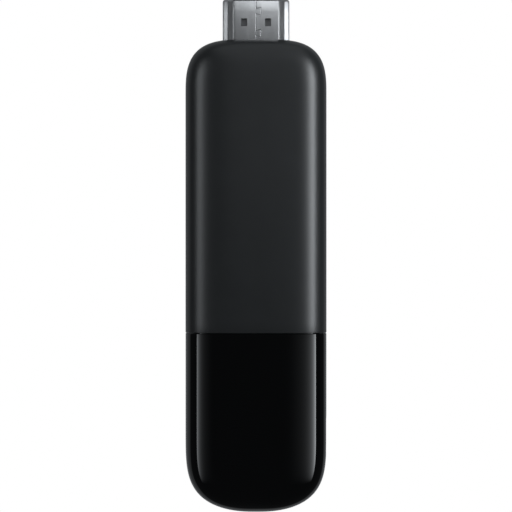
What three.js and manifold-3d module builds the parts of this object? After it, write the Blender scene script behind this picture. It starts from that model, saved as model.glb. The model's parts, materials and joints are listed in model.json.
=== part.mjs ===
// A streaming media stick: a satin sleeve and a gloss end cap around a carrier, a circuit board,
// heat spreaders and antennas, with an HDMI plug at one end and a micro-USB power inlet in the side.
//
// Millimetres. X is the width, Y the thickness with the front facing -Y, and Z runs along the stick,
// up towards the plug. The origin is on the long axis, where the plug leaves the housing.

import * as THREE from "three";
import { mergeVertices } from "three/addons/utils/BufferGeometryUtils.js";
import Module from "manifold-3d";

// ---------------------------------------------------------------- driving dimensions

// Housing
const BODY_WIDTH = 29.4;
const BODY_THICKNESS = 15.4;
const BODY_LENGTH = 98.5;
const SEAM_Z = -61.1; // where the sleeve ends and the end cap begins
const SEAM_GAP = 0.1;
const WALL = 1.6;
const END_WALL = 1.7;
const SECTION_EXPONENT = 3; // of the superellipse that every cross-section follows
// Each rounded end: its reach along Z, and the exponents of its outline across and along the stick.
const TOP_END = { reach: 11.4, across: 3.76, along: 2.98 };
const BOTTOM_END = { reach: 17.9, across: 2.3, along: 4.18 };
const AROUND = 72; // facets round the housing
const END_ROWS = 10; // rows of facets over each rounded end

// Joint between sleeve and cap
const SPIGOT_LENGTH = 3.9;
const SPIGOT_THICKNESS = 0.7;
const JOINT_CLEARANCE = 0.1;
const LUG = { x: 5, width: 3, height: 0.9, top: 6.95 }; // snap lugs on the cap's spigot
const LUG_CLEARANCE = 0.1;
const RIB = { x: 4, thickness: 1, reach: 5.2, top: -94.4 }; // stop ribs in the bottom of the cap

// HDMI type A plug
const PLUG_WIDTH = 13.9;
const PLUG_HEIGHT = 4.45;
const PLUG_REACH = 8.3; // past the housing
const PLUG_NARROW_FACE = 10; // width of the flat on the front
// Beside the narrow face a steep facet runs to x, y, and a shallow one runs on to the side at shoulder.
const PLUG_STEP = { x: 5.86, y: -1.27, shoulder: -0.57 };
const PLUG_SHEET = 0.3;
const PLUG_REAR = -7.9;
const PLUG_LEG = { y: 0.7, inner: 5.9, outer: 6.9, end: -12 }; // the legs grip the board's edge
const PLUG_HOLE_CLEARANCE = 0.12;
const WINDOW = { x: 2.5, fromTip: 4.85, width: 1.3, length: 1.65 }; // latch windows
// The seam down the narrow face: a groove, with dovetails at these distances from the tip
const SEAM = {
  width: 0.1, depth: 0.12, dovetails: [2.55, 7.15], dovetailReach: 1, root: 0.5, end: 0.8, run: 1.2,
};
const SLOT = { halfWidth: 5.8, halfHeight: 0.62, floor: -4.5 }; // takes the socket's tongue
const INSULATOR = { top: 7.7, bottom: -7.4, clearance: 0.08 };
const CONTACT = { width: 0.4, thickness: 0.18, pitch: 1, tail: -10.6, tip: 6.9 };
const CONTACT_GROOVE = { start: 0.42, floor: 1, end: 7.3 }; // in the insulator, either side of the slot
const REAR_CONTACTS = 10;
const FRONT_CONTACTS = 9;

// Circuit board
const BOARD = {
  halfWidth: 11.2, thickness: 1, top: -8, bottom: -93, topRadius: 1.2, bottomRadius: 7,
};
const FRONT = -BOARD.thickness / 2; // the board's front face, as a Y
const REAR = BOARD.thickness / 2;
const MOUNT_GAP = 0.02; // under each piece that sits on the board

// Shield cans, thermal pads and heat spreaders, each front one repeated on the rear
const CAN = { width: 18.4, height: 2, sheet: 0.2, top: -14.2, bottom: -46.2 };
const CHIP_PAD_THICKNESS = 0.52;
const PAD = { width: 17, length: 28, thickness: 1, z: -30.2 };
const SPREADER = {
  width: 20.8, length: 43, thickness: 1, flange: 1, flangeThickness: 0.8, z: -34.8, radius: 3,
};
const GROOVE = { pitch: 5, width: 1.8, depth: 0.3, length: 30 }; // in the heat spreaders

// Pressed aerials
const AERIAL = { height: 3.2, strip: 1.3, leg: 1, legGap: 1.2, thickness: 0.3 };

// Carrier that holds the board
const CARRIER = { front: -1.3, rear: 2.4, wall: 1, clearance: 0.15, ledge: 1.1, top: -7, topGap: 7.4 };
const CROSSBAR = { z: -52, length: 3, halfWidth: 11 };
const SCREW_PLACES = [
  { name: "screw_top_left", x: -9.3, z: -11.4 },
  { name: "screw_top_right", x: 9.3, z: -11.4 },
  { name: "screw_middle_left", x: -9.3, z: -60.2 },
  { name: "screw_middle_right", x: 9.3, z: -60.2 },
];
const SCREW = { headRadius: 1.25, headHeight: 0.7, radius: 0.68, length: 3.2, recess: 0.35 };
const BOSS = { radius: 1.7, rear: 3.6, bore: 0.74 };

// Micro-USB power inlet, centred on the board's thickness, in the right side
const USB = {
  z: -82.4, mouth: 13.8, width: 7.4, height: 2.35, depth: 5.2, sheet: 0.25,
  chamferWidth: 0.8, chamferHeight: 0.82,
};
const USB_LEG = { inner: 3.3, outer: 4.7, width: 1, places: [-1.9, -4] }; // behind the mouth
const USB_CONTACT = { count: 5, pitch: 0.65, width: 0.28, thickness: 0.14 };
const TONGUE = { halfWidth: 1.9, low: 0.02, high: 0.6, root: -3.6, tip: -0.6 }; // carries the contacts
const PORT = { width: 7.7, height: 3.3, radius: 1.1, flare: 0.3 }; // opening in the cap
// The groove inside the cap that the inlet's nose slides down
const CHANNEL = { halfHeight: 1.75, start: 10, floor: 14, end: -86.7 };

// ---------------------------------------------------------------- materials

function finish(color, roughness, metalness) {
  return new THREE.MeshStandardMaterial({ color, roughness, metalness });
}

const MATERIALS = {
  satin_black: finish(0x26282a, 0.45, 0),
  gloss_black: finish(0x08090a, 0.08, 0),
  carrier_plastic: finish(0x2b2c2e, 0.7, 0),
  plug_steel: finish(0xb4b6b8, 0.22, 1),
  insulator_plastic: finish(0x161617, 0.6, 0),
  contact_gold: finish(0xd9b25c, 0.25, 1),
  board: finish(0x123a2b, 0.4, 0),
  chip: finish(0x1b1c1e, 0.55, 0),
  shield_tin: finish(0xb9babb, 0.35, 1),
  aluminium: finish(0xa9abae, 0.4, 1),
  thermal_pad: finish(0x8fa3b5, 0.9, 0),
  screw_steel: finish(0x8c8e90, 0.35, 1),
  ferrite: finish(0x3a3a3c, 0.8, 0),
};

// ---------------------------------------------------------------- solids

const wasm = await Module();
wasm.setup();

// A closed geometry as a solid that can be joined and cut.
function solidOf(geometry) {
  const bare = geometry.clone();
  bare.deleteAttribute("normal");
  bare.deleteAttribute("uv");
  const merged = mergeVertices(bare, 1e-4);
  const triVerts = new Uint32Array(merged.index.array);
  return new wasm.Manifold(
    new wasm.Mesh({ numProp: 3, vertProperties: merged.attributes.position.array, triVerts }),
  );
}

// A solid's surface as a geometry with flat faces.
function geometryOf(solid) {
  const { numProp, vertProperties, triVerts } = solid.getMesh();
  const positions = new Float32Array(triVerts.length * 3);
  triVerts.forEach((vertex, i) => {
    positions.set(vertProperties.subarray(vertex * numProp, vertex * numProp + 3), i * 3);
  });
  const geometry = new THREE.BufferGeometry();
  geometry.setAttribute("position", new THREE.BufferAttribute(positions, 3));
  geometry.computeVertexNormals();
  return geometry;
}

const joined = (solids) => solids.reduce((all, next) => all.add(next));
const cutBy = (solid, tools) => tools.reduce((left, tool) => left.subtract(tool), solid);

// A box from its lowest to its highest corner.
function boxSolid([x0, y0, z0], [x1, y1, z1]) {
  const geometry = new THREE.BoxGeometry(x1 - x0, y1 - y0, z1 - z0);
  return solidOf(geometry.translate((x0 + x1) / 2, (y0 + y1) / 2, (z0 + z1) / 2));
}

// A round bar along Y.
function barSolid(x, z, radius, yFront, yRear, sides = 20) {
  const geometry = new THREE.CylinderGeometry(radius, radius, yRear - yFront, sides);
  return solidOf(geometry.translate(x, (yFront + yRear) / 2, z));
}

// An outline in X and Z, made solid from yFront to yRear.
function plateSolid(shape, yFront, yRear, curveSegments = 5) {
  const depth = yRear - yFront;
  const geometry = new THREE.ExtrudeGeometry(shape, { depth, bevelEnabled: false, curveSegments });
  return solidOf(geometry.rotateX(Math.PI / 2).translate(0, yRear, 0));
}

// An outline in X and Y, made solid from zLow to zHigh.
function columnSolid(shape, zLow, zHigh, curveSegments = 4, bevel = 0) {
  const geometry = new THREE.ExtrudeGeometry(shape, {
    depth: zHigh - zLow - 2 * bevel,
    curveSegments,
    bevelEnabled: bevel > 0,
    bevelThickness: bevel,
    bevelSize: bevel,
    bevelOffset: -bevel,
    bevelSegments: 2,
  });
  return solidOf(geometry.translate(0, 0, zLow + bevel));
}

function piece(name, solid, material) {
  const mesh = new THREE.Mesh(geometryOf(solid), material);
  mesh.name = name;
  return mesh;
}

// ---------------------------------------------------------------- outlines

// The corner points of a closed outline, moved outwards by distance; negative moves them inwards.
// The points run anticlockwise.
function grown(points, distance) {
  return points.map((point, i) => {
    const before = points[(i + points.length - 1) % points.length];
    const after = points[(i + 1) % points.length];
    const inward = point.clone().sub(before).normalize();
    const outward = after.clone().sub(point).normalize();
    const turn = inward.cross(outward);
    const alongOut = outward.clone().multiplyScalar(-distance / turn);
    const alongIn = inward.clone().multiplyScalar(distance / turn);
    return point.clone().add(alongOut).add(alongIn);
  });
}

// A closed outline with each corner rounded.
function roundedShape(points, radii) {
  const shape = new THREE.Shape();
  points.forEach((corner, i) => {
    const before = points[(i + points.length - 1) % points.length];
    const after = points[(i + 1) % points.length];
    const toBefore = before.clone().sub(corner).normalize();
    const toAfter = after.clone().sub(corner).normalize();
    const start = corner.clone().addScaledVector(toBefore, radii[i]);
    const end = corner.clone().addScaledVector(toAfter, radii[i]);
    if (i === 0) shape.moveTo(start.x, start.y);
    else shape.lineTo(start.x, start.y);
    if (radii[i] > 0) shape.quadraticCurveTo(corner.x, corner.y, end.x, end.y);
  });
  shape.closePath();
  return shape;
}

function rectangle(halfWidth, low, high, lowRadius = 0, highRadius = lowRadius) {
  const corners = [
    new THREE.Vector2(-halfWidth, low),
    new THREE.Vector2(halfWidth, low),
    new THREE.Vector2(halfWidth, high),
    new THREE.Vector2(-halfWidth, high),
  ];
  return roundedShape(corners, [lowRadius, lowRadius, highRadius, highRadius]);
}

// The board's outline, grown by margin.
function boardShape(margin) {
  return rectangle(
    BOARD.halfWidth + margin,
    BOARD.bottom - margin,
    BOARD.top + margin,
    BOARD.bottomRadius + margin,
    Math.max(BOARD.topRadius + margin, 0.2),
  );
}

// The HDMI plug's section: a narrow face to the front, two sloping facets each side, and a wide rear face.
function plugShape(margin) {
  const halfNarrow = PLUG_NARROW_FACE / 2;
  const halfWide = PLUG_WIDTH / 2;
  const halfHeight = PLUG_HEIGHT / 2;
  const step = new THREE.Vector2(PLUG_STEP.x, PLUG_STEP.y);
  const shoulder = PLUG_STEP.shoulder;
  const corners = [
    new THREE.Vector2(-halfNarrow, -halfHeight),
    new THREE.Vector2(halfNarrow, -halfHeight),
    step,
    new THREE.Vector2(halfWide, shoulder),
    new THREE.Vector2(halfWide, halfHeight),
    new THREE.Vector2(-halfWide, halfHeight),
    new THREE.Vector2(-halfWide, shoulder),
    new THREE.Vector2(-step.x, step.y),
  ];
  const outer = 0.35 + margin / 2;
  const bend = 0.12;
  return roundedShape(grown(corners, margin), [outer, outer, bend, outer, outer, outer, outer, bend]);
}

// A strip of sheet that follows a path, as an outline.
function stripShape(path, thickness) {
  const side = (sign) =>
    path.map((point, i) => {
      const before = path[Math.max(i - 1, 0)];
      const after = path[Math.min(i + 1, path.length - 1)];
      const into = i === 0 ? after.clone().sub(point) : point.clone().sub(before);
      const outOf = i === path.length - 1 ? into.clone() : after.clone().sub(point);
      const along = into.normalize().add(outOf.normalize()).normalize();
      const normal = new THREE.Vector2(-along.y, along.x);
      const spread = thickness / 2 / Math.abs(along.dot(outOf));
      return point.clone().addScaledVector(normal, sign * spread);
    });
  return new THREE.Shape([...side(-1), ...side(1).reverse()]);
}

// ---------------------------------------------------------------- housing

// A point of the unit superellipse.
function onSection(angle) {
  const bend = (value) => Math.sign(value) * Math.abs(value) ** (2 / SECTION_EXPONENT);
  return [bend(Math.cos(angle)), bend(Math.sin(angle))];
}

// A solid whose every cross-section is a superellipse, scaled by the profile's first coordinate.
function barrel(profile, halfWidth, halfThickness) {
  const geometry = new THREE.LatheGeometry(profile, AROUND).rotateX(Math.PI / 2);
  const position = geometry.attributes.position;
  for (let i = 0; i < position.count; i++) {
    const scale = Math.hypot(position.getX(i), position.getY(i));
    const [x, y] = onSection(Math.atan2(position.getY(i), position.getX(i)));
    position.setXY(i, x * scale * halfWidth, y * scale * halfThickness);
  }
  return solidOf(geometry);
}

// The profile of one rounded end, from its apex to the straight stretch.
function endProfile(apex, direction, end) {
  return Array.from({ length: END_ROWS + 1 }, (_, row) => {
    const angle = (row / END_ROWS) * (Math.PI / 2);
    const scale = Math.sin(angle) ** (2 / end.across);
    const depth = end.reach * (1 - Math.abs(Math.cos(angle)) ** (2 / end.along));
    return new THREE.Vector2(row ? scale : 0, apex + direction * depth);
  });
}

// The whole housing's shape, taken inwards by wall at the sides and endWall at the ends.
function housingShape(wall, endWall) {
  const inner = (end) => ({ ...end, reach: end.reach - wall });
  const bottom = endProfile(endWall - BODY_LENGTH, 1, inner(BOTTOM_END));
  const top = endProfile(-endWall, -1, inner(TOP_END));
  return barrel([...bottom, ...top.reverse()], BODY_WIDTH / 2 - wall, BODY_THICKNESS / 2 - wall);
}

function ringBlank(wall, zLow, zHigh) {
  const profile = [[0, zLow], [1, zLow], [1, zHigh], [0, zHigh]];
  const points = profile.map(([scale, z]) => new THREE.Vector2(scale, z));
  return barrel(points, BODY_WIDTH / 2 - wall, BODY_THICKNESS / 2 - wall);
}

// The four snap lugs, or with a margin the pockets they click into.
function lugs(margin) {
  const z = SEAM_Z + SPIGOT_LENGTH / 2;
  const halfWidth = LUG.width / 2 + margin;
  const halfHeight = LUG.height / 2 + margin;
  const inside = BODY_THICKNESS / 2 - WALL + 0.2;
  const outside = LUG.top + margin;
  const lug = (x, side) => {
    const [low, high] = side < 0 ? [-outside, -inside] : [inside, outside];
    return boxSolid([x - halfWidth, low, z - halfHeight], [x + halfWidth, high, z + halfHeight]);
  };
  return [-LUG.x, LUG.x].flatMap((x) => [lug(x, -1), lug(x, 1)]);
}

function sleeve() {
  const reach = BODY_WIDTH;
  const below = boxSolid([-reach, -reach, -2 * BODY_LENGTH], [reach, reach, SEAM_Z]);
  const spigotSeat = WALL - SPIGOT_THICKNESS - JOINT_CLEARANCE;
  const solid = cutBy(housingShape(0, 0), [
    below,
    housingShape(WALL, END_WALL),
    ringBlank(spigotSeat, SEAM_Z - 1, SEAM_Z + SPIGOT_LENGTH + JOINT_CLEARANCE),
    columnSolid(plugShape(PLUG_HOLE_CLEARANCE), -2 * END_WALL, END_WALL),
    ...lugs(LUG_CLEARANCE),
  ]);
  return piece("sleeve", solid, MATERIALS.satin_black);
}

// The opening for the power plug, flared where it meets the outside. The tools point up Z until they are
// turned to +X.
function portTools() {
  const opening = rectangle(PORT.width / 2, -PORT.height / 2, PORT.height / 2, PORT.radius);
  const flareStart = BODY_WIDTH / 2 - 0.05;
  const straight = columnSolid(opening, CHANNEL.start, BODY_WIDTH);
  const flare = new THREE.ExtrudeGeometry(opening, {
    depth: 2,
    curveSegments: 4,
    bevelEnabled: true,
    bevelThickness: PORT.flare,
    bevelSize: PORT.flare,
    bevelSegments: 1,
  });
  const tools = [straight, solidOf(flare.translate(0, 0, flareStart))];
  return tools.map((tool) => tool.rotate([0, 90, 0]).translate([0, 0, USB.z]));
}

function endCap() {
  const reach = BODY_WIDTH;
  const above = boxSolid([-reach, -reach, SEAM_Z - SEAM_GAP], [reach, reach, 2 * BODY_LENGTH]);
  const shell = cutBy(housingShape(0, 0), [above]);
  const spigot = ringBlank(WALL - SPIGOT_THICKNESS, SEAM_Z - 1, SEAM_Z + SPIGOT_LENGTH);
  const channelTop = SEAM_Z + 2 * SPIGOT_LENGTH;
  const hollow = cutBy(joined([shell, spigot, ...lugs(0)]), [
    housingShape(WALL, END_WALL),
    boxSolid(
      [CHANNEL.start, -CHANNEL.halfHeight, CHANNEL.end],
      [CHANNEL.floor, CHANNEL.halfHeight, channelTop],
    ),
    ...portTools(),
  ]);
  const bottom = -BODY_LENGTH + END_WALL / 2;
  const ribs = [-RIB.x, RIB.x].map((x) =>
    boxSolid([x - RIB.thickness / 2, -RIB.reach, bottom], [x + RIB.thickness / 2, RIB.reach, RIB.top])
      .intersect(housingShape(WALL / 2, END_WALL / 2)),
  );
  return piece("end_cap", joined([hollow, ...ribs]), MATERIALS.gloss_black);
}

// ---------------------------------------------------------------- HDMI plug

// The joint of the folded sheet, down the middle of the narrow face, with two dovetails across it.
function seamGroove() {
  const { width, depth, dovetails, dovetailReach, root, end, run } = SEAM;
  const face = -PLUG_HEIGHT / 2;
  const aroundTail = (fromTip) => {
    const z = PLUG_REACH - fromTip;
    return [
      [0, z + run],
      [0, z + root],
      [dovetailReach, z + end],
      [dovetailReach, z - end],
      [0, z - root],
      [0, z - run],
    ];
  };
  const path = [[0, PLUG_REACH + 1], ...dovetails.flatMap(aroundTail), [0, PLUG_REAR - 1]];
  const points = path.map(([x, z]) => new THREE.Vector2(x, z));
  return plateSolid(stripShape(points, width), face - 1, face + depth);
}

function windowTools(halfWidth, halfLength, depth) {
  const z = PLUG_REACH - WINDOW.fromTip;
  const face = PLUG_HEIGHT / 2;
  return [-WINDOW.x, WINDOW.x].flatMap((x) => [
    boxSolid([x - halfWidth, -face - 1, z - halfLength], [x + halfWidth, depth - face, z + halfLength]),
    boxSolid([x - halfWidth, face - depth, z - halfLength], [x + halfWidth, face + 1, z + halfLength]),
  ]);
}

function plugShell() {
  const tube = columnSolid(plugShape(0), PLUG_REAR, PLUG_REACH, 4, 0.15);
  const hollow = columnSolid(plugShape(-PLUG_SHEET), PLUG_REAR - 1, PLUG_REACH + 1);
  const halfSheet = PLUG_SHEET / 2;
  const legs = [-1, 1].flatMap((side) =>
    [-PLUG_LEG.y, PLUG_LEG.y].map((y) => {
      const [low, high] = side < 0 ? [-PLUG_LEG.outer, -PLUG_LEG.inner] : [PLUG_LEG.inner, PLUG_LEG.outer];
      return boxSolid([low, y - halfSheet, PLUG_LEG.end], [high, y + halfSheet, INSULATOR.bottom - 0.1]);
    }),
  );
  const windows = windowTools(WINDOW.width / 2, WINDOW.length / 2, 2 * PLUG_SHEET);
  const solid = cutBy(joined([tube.subtract(hollow), ...legs]), [...windows, seamGroove()]);
  return piece("hdmi_shell", solid, MATERIALS.plug_steel);
}

// A contact of the rear row, from its tail on the board to its lifted tip.
function contactSolid(side, margin = 0) {
  const onBoard = REAR + MOUNT_GAP + CONTACT.thickness / 2;
  const path = [
    [CONTACT.tail, onBoard],
    [-6.6, onBoard],
    [-6, 0.74],
    [2.4, 0.74],
    [4.4, 0.5],
    [5.4, 0.5],
    [CONTACT.tip, 0.82],
  ].map(([z, y]) => new THREE.Vector2(z, side * y));
  const depth = CONTACT.width + 2 * margin;
  const shape = stripShape(path, CONTACT.thickness + 2 * margin);
  const geometry = new THREE.ExtrudeGeometry(shape, { depth, bevelEnabled: false });
  return solidOf(geometry.rotateY(-Math.PI / 2).translate(depth / 2, 0, 0));
}

const contactPlaces = (count) =>
  Array.from({ length: count }, (_, i) => (i - (count - 1) / 2) * CONTACT.pitch);

function insulator() {
  const section = plugShape(-PLUG_SHEET - INSULATOR.clearance);
  const body = columnSolid(section, INSULATOR.bottom, INSULATOR.top);
  const slot = boxSolid(
    [-SLOT.halfWidth, -SLOT.halfHeight, SLOT.floor],
    [SLOT.halfWidth, SLOT.halfHeight, INSULATOR.top + 1],
  );
  const halfGroove = CONTACT.width / 2 + 0.05;
  const { start, floor, end } = CONTACT_GROOVE;
  const groove = (x, side) => {
    const [low, high] = side < 0 ? [-floor, -start] : [start, floor];
    return boxSolid([x - halfGroove, low, INSULATOR.bottom - 1], [x + halfGroove, high, end]);
  };
  const grooves = [
    ...contactPlaces(REAR_CONTACTS).map((x) => groove(x, 1)),
    ...contactPlaces(FRONT_CONTACTS).map((x) => groove(x, -1)),
  ];
  const pockets = windowTools(WINDOW.width / 2 + 0.1, WINDOW.length / 2 + 0.1, 0.75);
  return piece("hdmi_insulator", cutBy(body, [slot, ...grooves, ...pockets]), MATERIALS.insulator_plastic);
}

function contactRow(count, side, label) {
  return contactPlaces(count).map((x, i) => {
    const contact = piece(`hdmi_contact_${label}_${i + 1}`, contactSolid(side), MATERIALS.contact_gold);
    contact.position.x = x;
    return contact;
  });
}

function hdmiPlug() {
  const group = new THREE.Group();
  group.add(plugShell(), insulator());
  group.add(...contactRow(REAR_CONTACTS, 1, "rear"), ...contactRow(FRONT_CONTACTS, -1, "front"));
  return group;
}

// ---------------------------------------------------------------- micro-USB inlet

// The inlet's section, in its own frame: wide side to the rear, two corners cut off towards the front.
function inletShape(margin) {
  const halfWidth = USB.width / 2;
  const halfHeight = USB.height / 2;
  const corners = [
    new THREE.Vector2(halfWidth, halfHeight),
    new THREE.Vector2(-halfWidth, halfHeight),
    new THREE.Vector2(-halfWidth, USB.chamferHeight - halfHeight),
    new THREE.Vector2(USB.chamferWidth - halfWidth, -halfHeight),
    new THREE.Vector2(halfWidth - USB.chamferWidth, -halfHeight),
    new THREE.Vector2(halfWidth, USB.chamferHeight - halfHeight),
  ];
  const radius = 0.3 + margin / 2;
  return roundedShape(grown(corners, margin), corners.map(() => radius));
}

function inletShell() {
  const tube = columnSolid(inletShape(0), -USB.depth, 0);
  const hollow = columnSolid(inletShape(-USB.sheet), -USB.depth - 1, 1);
  const { inner, outer, width, places } = USB_LEG;
  const foot = FRONT - MOUNT_GAP;
  const legs = [-1, 1].flatMap((side) =>
    places.map((z) => {
      const [low, high] = side < 0 ? [-outer, -inner] : [inner, outer];
      return boxSolid([low, foot - USB.sheet, z - width / 2], [high, foot, z + width / 2]);
    }),
  );
  return piece("micro_usb_shell", joined([tube.subtract(hollow), ...legs]), MATERIALS.shield_tin);
}

function inletInsulator() {
  const { halfWidth, low, high, root, tip } = TONGUE;
  const block = columnSolid(inletShape(-USB.sheet - 0.05), -USB.depth + 0.1, root);
  const tongue = boxSolid([-halfWidth, low, root - 0.1], [halfWidth, high, tip]);
  const halfGroove = USB_CONTACT.width / 2 + 0.04;
  const grooves = contactSpread().map((x) =>
    boxSolid([x - halfGroove, -0.75, -USB.depth - 1], [x + halfGroove, low - 0.01, root + 0.1]),
  );
  return piece("micro_usb_insulator", cutBy(joined([block, tongue]), grooves), MATERIALS.insulator_plastic);
}

function contactSpread() {
  const middle = (USB_CONTACT.count - 1) / 2;
  return Array.from({ length: USB_CONTACT.count }, (_, i) => (i - middle) * USB_CONTACT.pitch);
}

function inletContacts() {
  const half = USB_CONTACT.thickness / 2;
  const onBoard = FRONT - MOUNT_GAP - half;
  const path = [[-6.4, onBoard], [-4.4, onBoard], [-3.9, -half - 0.01], [-0.9, -half - 0.01]];
  const shape = stripShape(path.map(([z, y]) => new THREE.Vector2(z, y)), USB_CONTACT.thickness);
  const geometry = new THREE.ExtrudeGeometry(shape, { depth: USB_CONTACT.width, bevelEnabled: false });
  geometry.rotateY(-Math.PI / 2).translate(USB_CONTACT.width / 2, 0, 0);
  return contactSpread().map((x, i) => {
    const contact = piece(`micro_usb_contact_${i + 1}`, solidOf(geometry), MATERIALS.contact_gold);
    contact.position.x = x;
    return contact;
  });
}

// In the inlet's own frame Z points out of its mouth; the group turns that to the stick's +X.
function microUsb() {
  const group = new THREE.Group();
  group.add(inletShell(), inletInsulator(), ...inletContacts());
  group.rotation.y = Math.PI / 2;
  group.position.set(USB.mouth, 0, USB.z);
  return group;
}

// ---------------------------------------------------------------- circuit board

function board() {
  const holes = SCREW_PLACES.map(({ x, z }) => barSolid(x, z, 0.85, -2, 2));
  const inletGap = boxSolid([8.4, -2, USB.z - 3.95], [20, 2, USB.z + 3.95]);
  const solid = cutBy(plateSolid(boardShape(0), FRONT, REAR), [...holes, inletGap]);
  return piece("main_board", solid, MATERIALS.board);
}

// A rectangular component on the front (side -1) or rear (side 1) of the board.
function component({ name, side, x, z, width, length, height, material }) {
  const mesh = new THREE.Mesh(new THREE.BoxGeometry(width, height, length), material);
  mesh.name = name;
  mesh.position.set(x, side * (REAR + MOUNT_GAP + height / 2), z);
  return mesh;
}

const CHIP_HEIGHT = 1.2; // of the two chips under a thermal pad
const SOC = { side: -1, x: 0, z: -22, width: 12, length: 12, height: CHIP_HEIGHT };
const FLASH = { side: 1, x: 0, z: -24, width: 11.5, length: 13, height: CHIP_HEIGHT };
const MEMORY = { side: -1, z: -37, width: 7.5, length: 13.3, height: 1 };
const INDUCTOR = { side: -1, x: 0.4, width: 2.5, length: 2.5, height: 1.2 };
const RADIO = { side: -1, x: -1.5, z: -72, width: 12, length: 12, height: 0.8 };

function components() {
  const { chip, ferrite, shield_tin, board: laminate } = MATERIALS;
  const crystal = { height: 0.7, material: shield_tin };
  const guard = { side: 1, x: 0, z: -12.4, width: 4, length: 1.8, height: 0.7 };
  return [
    { ...SOC, name: "processor_chip", material: chip },
    { ...MEMORY, name: "memory_chip_left", x: -4.6, material: chip },
    { ...MEMORY, name: "memory_chip_right", x: 4.6, material: chip },
    { ...FLASH, name: "flash_chip", material: chip },
    { ...INDUCTOR, name: "inductor_1", z: -51, material: ferrite },
    { ...INDUCTOR, name: "inductor_2", z: -55, material: ferrite },
    { name: "inductor_3", side: -1, x: 5, z: -53, width: 3.2, length: 3.2, height: 1.4, material: ferrite },
    { name: "power_chip", side: -1, x: -5.2, z: -52.5, width: 5, length: 5, height: 0.85, material: chip },
    { ...crystal, name: "crystal_processor", side: 1, x: -6, z: -37.5, width: 3.2, length: 2.5 },
    { ...crystal, name: "crystal_radio", side: -1, x: 7.4, z: -70, width: 2.5, length: 2 },
    { ...RADIO, name: "radio_module_base", material: laminate },
    { ...guard, name: "surge_guard_chip", material: chip },
  ].map(component);
}

// The range of Y from one height above the board to another, on the front (side -1) or the rear (side 1).
function above(side, low, high) {
  const from = REAR + MOUNT_GAP + low;
  const to = REAR + MOUNT_GAP + high;
  return side < 0 ? [-to, -from] : [from, to];
}

// A pressed can, open towards the board, with rows of vent holes in its lid.
function shieldCan(name, side, { x = 0, width, height, top, bottom, lift = 0, ventRows }) {
  const lid = lift + height;
  const halfWidth = width / 2;
  const block = (inset, low, high) => {
    const corner = Math.max(0.8 - inset, 0.2);
    const shape = rectangle(halfWidth - inset, bottom + inset, top - inset, corner);
    return plateSolid(shape, ...above(side, low, high), 3);
  };
  const ventPlaces = [-0.75, -0.5, -0.25, 0.25, 0.5, 0.75].map((share) => share * halfWidth);
  const vents = ventRows.flatMap((z) =>
    ventPlaces.map((ventX) => barSolid(ventX, z, 0.55, ...above(side, lid - 0.5, lid + 1), 10)),
  );
  const inside = block(CAN.sheet, lift - 1, lid - CAN.sheet);
  const can = piece(name, cutBy(block(0, lift, lid), [inside, ...vents]), MATERIALS.shield_tin);
  can.position.x = x;
  return can;
}

function shieldCans() {
  const radio = {
    x: RADIO.x,
    width: 11.2,
    height: 1.1,
    lift: RADIO.height + MOUNT_GAP,
    top: RADIO.z + 5.6,
    bottom: RADIO.z - 5.6,
    ventRows: [],
  };
  return [
    shieldCan("shield_can_front", -1, { ...CAN, ventRows: [-29.2, -45] }),
    shieldCan("shield_can_rear", 1, { ...CAN, ventRows: [-16, -45] }),
    shieldCan("radio_module_can", RADIO.side, radio),
  ];
}

function pad(name, side, { z, width, length, thickness, lift }) {
  const shape = rectangle(width / 2, z - length / 2, z + length / 2, 0.4);
  return piece(name, plateSolid(shape, ...above(side, lift, lift + thickness), 2), MATERIALS.thermal_pad);
}

function thermalPads() {
  const overCan = CAN.height + MOUNT_GAP;
  const overChip = { thickness: CHIP_PAD_THICKNESS, lift: CHIP_HEIGHT + MOUNT_GAP };
  return [
    pad("thermal_pad_processor", -1, { ...overChip, z: SOC.z, width: 11, length: 11 }),
    pad("thermal_pad_flash", 1, { ...overChip, z: FLASH.z, width: 10, length: 11 }),
    pad("thermal_pad_front", -1, { ...PAD, lift: overCan }),
    pad("thermal_pad_rear", 1, { ...PAD, lift: overCan }),
  ];
}

// A pressed plate over the pad, with two flanges folded back towards the board and three swaged grooves.
function heatSpreader(name, side) {
  const { width, length, thickness, flange, flangeThickness, z, radius } = SPREADER;
  const low = CAN.height + PAD.thickness + 2 * MOUNT_GAP;
  const high = low + thickness;
  const halfWidth = width / 2;
  const outline = rectangle(halfWidth, z - length / 2, z + length / 2, radius);
  const flangeHalf = length / 2 - radius - 1;
  const [flangeFront, flangeRear] = above(side, low - flange, high - 0.2);
  const flanges = [-halfWidth, halfWidth - flangeThickness].map((x) =>
    boxSolid([x, flangeFront, z - flangeHalf], [x + flangeThickness, flangeRear, z + flangeHalf]),
  );
  const [grooveFront, grooveRear] = above(side, high - GROOVE.depth, high + 1);
  const grooves = [-GROOVE.pitch, 0, GROOVE.pitch].map((x) =>
    boxSolid(
      [x - GROOVE.width / 2, grooveFront, z - GROOVE.length / 2],
      [x + GROOVE.width / 2, grooveRear, z + GROOVE.length / 2],
    ),
  );
  const plate = plateSolid(outline, ...above(side, low, high), 4);
  return piece(name, cutBy(joined([plate, ...flanges]), grooves), MATERIALS.aluminium);
}

// A pressed aerial that stands on the board on two legs.
function aerial(name, length) {
  const { height, strip, leg, legGap, thickness } = AERIAL;
  const half = length / 2;
  const underside = height - strip;
  const feed = half - leg - legGap; // the far side of the second leg
  const corners = [
    [-half, height], [-half, underside],
    [feed - leg, underside], [feed - leg, 0], [feed, 0], [feed, underside],
    [half - leg, underside], [half - leg, 0], [half, 0], [half, height],
  ];
  const outline = new THREE.Shape(corners.map(([x, y]) => new THREE.Vector2(x, y)));
  return piece(name, columnSolid(outline, -thickness / 2, thickness / 2), MATERIALS.contact_gold);
}

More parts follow.
